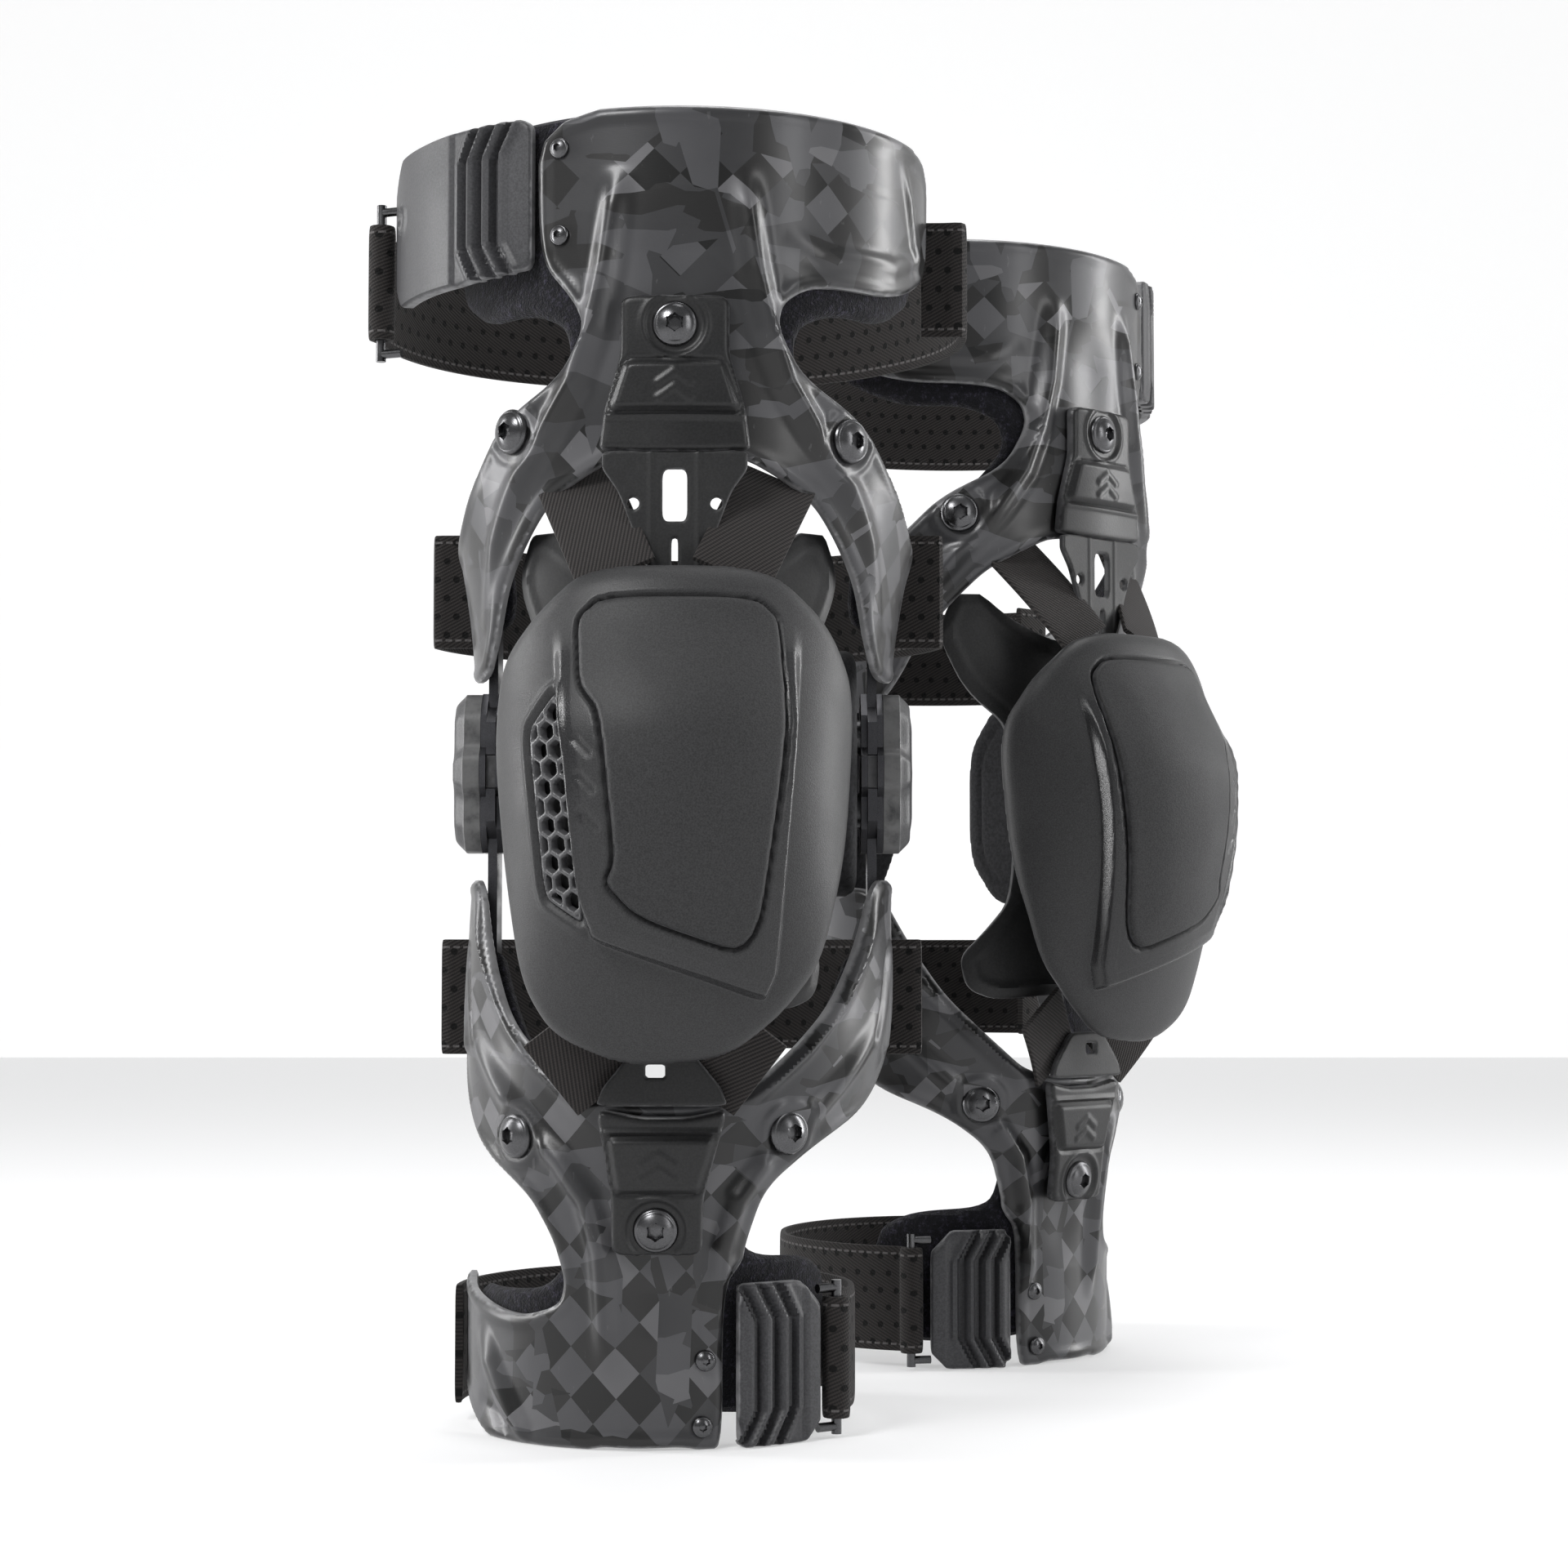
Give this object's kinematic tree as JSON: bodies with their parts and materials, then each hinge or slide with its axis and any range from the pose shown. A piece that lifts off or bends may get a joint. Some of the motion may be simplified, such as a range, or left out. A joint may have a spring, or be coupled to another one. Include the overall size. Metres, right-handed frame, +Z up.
{
  "type": "hinged knee brace pair",
  "caption": "Mirror-image pair of rigid hinged knee braces with laminate thigh and shin frames, geared hinges, floating knee cups, flexible side cuffs and webbing straps.",
  "frame": {"origin": "middle of the pair's footprint, on the surface that both braces stand on", "axes": "+Z up along the legs; -Y is the way the left brace's shin faces; the right brace is turned 45 degrees about Z"},
  "size_m": [0.2996, 0.393, 0.41],
  "materials": {
    "carbon_laminate": "satin clear-coated dark grey laminate with a diamond check",
    "fleece_liner": "fuzzy dark fleece over foam",
    "moulded_black": "matte black moulded nylon",
    "black_chrome": "black chrome, low domed",
    "dark_steel": "black-oxide steel",
    "perforated_webbing": "black perforated webbing",
    "wing_plastic": "mid-grey flexible plastic",
    "cover_plastic": "pale grey moulded plastic",
    "pad_foam": "matte black foam with a fabric skin",
    "cup_plastic": "dark grey fine-grained plastic",
    "insert_pad": "dense moulded foam",
    "vent_plastic": "semi-gloss moulded plastic",
    "carrier_plastic": "smooth matte plastic",
    "elastic_twill": "ribbed black elastic"
  },
  "bodies": {
    "left_shin": {"left_shin_frame": "carbon_laminate", "left_shin_liner": "fleece_liner", "left_shin_bracket": "moulded_black", "left_shin_screws": "black_chrome", "left_shin_hinge_arms": "dark_steel", "left_calf_strap_upper": "perforated_webbing", "left_calf_strap_lower": "perforated_webbing", "left_lower_tongue": "moulded_black"},
    "left_shin_wing": {"left_shin_wing": "wing_plastic", "left_shin_wing_hook": "dark_steel"},
    "left_link": {"left_hinge_plates": "dark_steel", "left_hinge_pins": "dark_steel", "left_hinge_covers": "cover_plastic", "left_condyle_pads": "pad_foam", "left_extension_stops": "moulded_black"},
    "left_cup": {"left_cup_shell": "cup_plastic", "left_cup_insert": "insert_pad", "left_cup_vent": "vent_plastic", "left_cup_carrier": "carrier_plastic", "left_cup_elastics": "elastic_twill"},
    "left_thigh": {"left_thigh_frame": "carbon_laminate", "left_thigh_liner": "fleece_liner", "left_thigh_bracket": "moulded_black", "left_thigh_screws": "black_chrome", "left_thigh_hinge_arms": "dark_steel", "left_thigh_strap_upper": "perforated_webbing", "left_thigh_strap_lower": "perforated_webbing", "left_upper_tongue": "moulded_black"},
    "left_thigh_wing": {"left_thigh_wing": "wing_plastic", "left_thigh_wing_hook": "dark_steel"},
    "right_shin": {"right_shin_frame": "carbon_laminate", "right_shin_liner": "fleece_liner", "right_shin_bracket": "moulded_black", "right_shin_screws": "black_chrome", "right_shin_hinge_arms": "dark_steel", "right_calf_strap_upper": "perforated_webbing", "right_calf_strap_lower": "perforated_webbing", "right_lower_tongue": "moulded_black"},
    "right_shin_wing": {"right_shin_wing": "wing_plastic", "right_shin_wing_hook": "dark_steel"},
    "right_link": {"right_hinge_plates": "dark_steel", "right_hinge_pins": "dark_steel", "right_hinge_covers": "cover_plastic", "right_condyle_pads": "pad_foam", "right_extension_stops": "moulded_black"},
    "right_cup": {"right_cup_shell": "cup_plastic", "right_cup_insert": "insert_pad", "right_cup_vent": "vent_plastic", "right_cup_carrier": "carrier_plastic", "right_cup_elastics": "elastic_twill"},
    "right_thigh": {"right_thigh_frame": "carbon_laminate", "right_thigh_liner": "fleece_liner", "right_thigh_bracket": "moulded_black", "right_thigh_screws": "black_chrome", "right_thigh_hinge_arms": "dark_steel", "right_thigh_strap_upper": "perforated_webbing", "right_thigh_strap_lower": "perforated_webbing", "right_upper_tongue": "moulded_black"},
    "right_thigh_wing": {"right_thigh_wing": "wing_plastic", "right_thigh_wing_hook": "dark_steel"}
  },
  "joints": [
    {"name": "left_link_hinge", "type": "hinge", "parent": "left_shin", "child": "left_link", "pos_m": [-0.04503, -0.07389, 0.198], "axis": [-1, 0, 0], "range_deg": [0, 15], "deforming": ["left_lower_tongue", "left_cup_elastics", "left_calf_strap_upper"]},
    {"name": "left_thigh_hinge", "type": "hinge", "parent": "left_link", "child": "left_thigh", "pos_m": [-0.04503, -0.07389, 0.222], "axis": [-1, 0, 0], "range_deg": [0, 15], "deforming": ["left_upper_tongue", "left_thigh_strap_lower"]},
    {"name": "left_cup_slide", "type": "slide", "parent": "left_link", "child": "left_cup", "axis": [0, 0, 1], "range_m": [-0.005, 0.005], "stiffness_N_per_m": 1500},
    {"name": "left_thigh_wing_flex", "type": "hinge", "parent": "left_thigh", "child": "left_thigh_wing", "pos_m": [-0.09043, -0.14039, 0.386], "axis": [0, 0, 1], "range_deg": [0, 15], "stiffness_Nm_per_rad": 0.8, "deforming": ["left_thigh_strap_upper"]},
    {"name": "left_shin_wing_flex", "type": "hinge", "parent": "left_shin", "child": "left_shin_wing", "pos_m": [-0.02543, -0.12769, 0.025], "axis": [0, 0, -1], "range_deg": [0, 15], "stiffness_Nm_per_rad": 0.8, "deforming": ["left_calf_strap_lower"]},
    {"name": "right_link_hinge", "type": "hinge", "parent": "right_shin", "child": "right_link", "pos_m": [0.04697, 0.10011, 0.198], "axis": [-0.7071, -0.7071, 0], "range_deg": [0, 60], "deforming": ["right_lower_tongue", "right_cup_elastics", "right_calf_strap_upper"]},
    {"name": "right_thigh_hinge", "type": "hinge", "parent": "right_link", "child": "right_thigh", "pos_m": [0.04697, 0.10011, 0.222], "axis": [-0.7071, -0.7071, 0], "range_deg": [0, 60], "deforming": ["right_upper_tongue", "right_thigh_strap_lower"]},
    {"name": "right_cup_slide", "type": "slide", "parent": "right_link", "child": "right_cup", "axis": [0, 0, 1], "range_m": [-0.005, 0.005], "stiffness_N_per_m": 1500},
    {"name": "right_thigh_wing_flex", "type": "hinge", "parent": "right_thigh", "child": "right_thigh_wing", "pos_m": [0.1261, 0.08519, 0.386], "axis": [0, 0, -1], "range_deg": [0, 15], "stiffness_Nm_per_rad": 0.8, "deforming": ["right_thigh_strap_upper"]},
    {"name": "right_shin_wing_flex", "type": "hinge", "parent": "right_shin", "child": "right_shin_wing", "pos_m": [0.07115, 0.04821, 0.025], "axis": [0, 0, 1], "range_deg": [0, 15], "stiffness_Nm_per_rad": 0.8, "deforming": ["right_calf_strap_lower"]},
    {"name": "pair_spacing", "type": "slide", "parent": "left_shin", "child": "right_shin", "axis": [1, 0, 0], "range_m": [0, 0.2]}
  ],
  "couplings": [
    {"joint": "left_link_hinge", "follows": "left_thigh_hinge", "ratio": 1},
    {"joint": "right_link_hinge", "follows": "right_thigh_hinge", "ratio": 1}
  ]
}
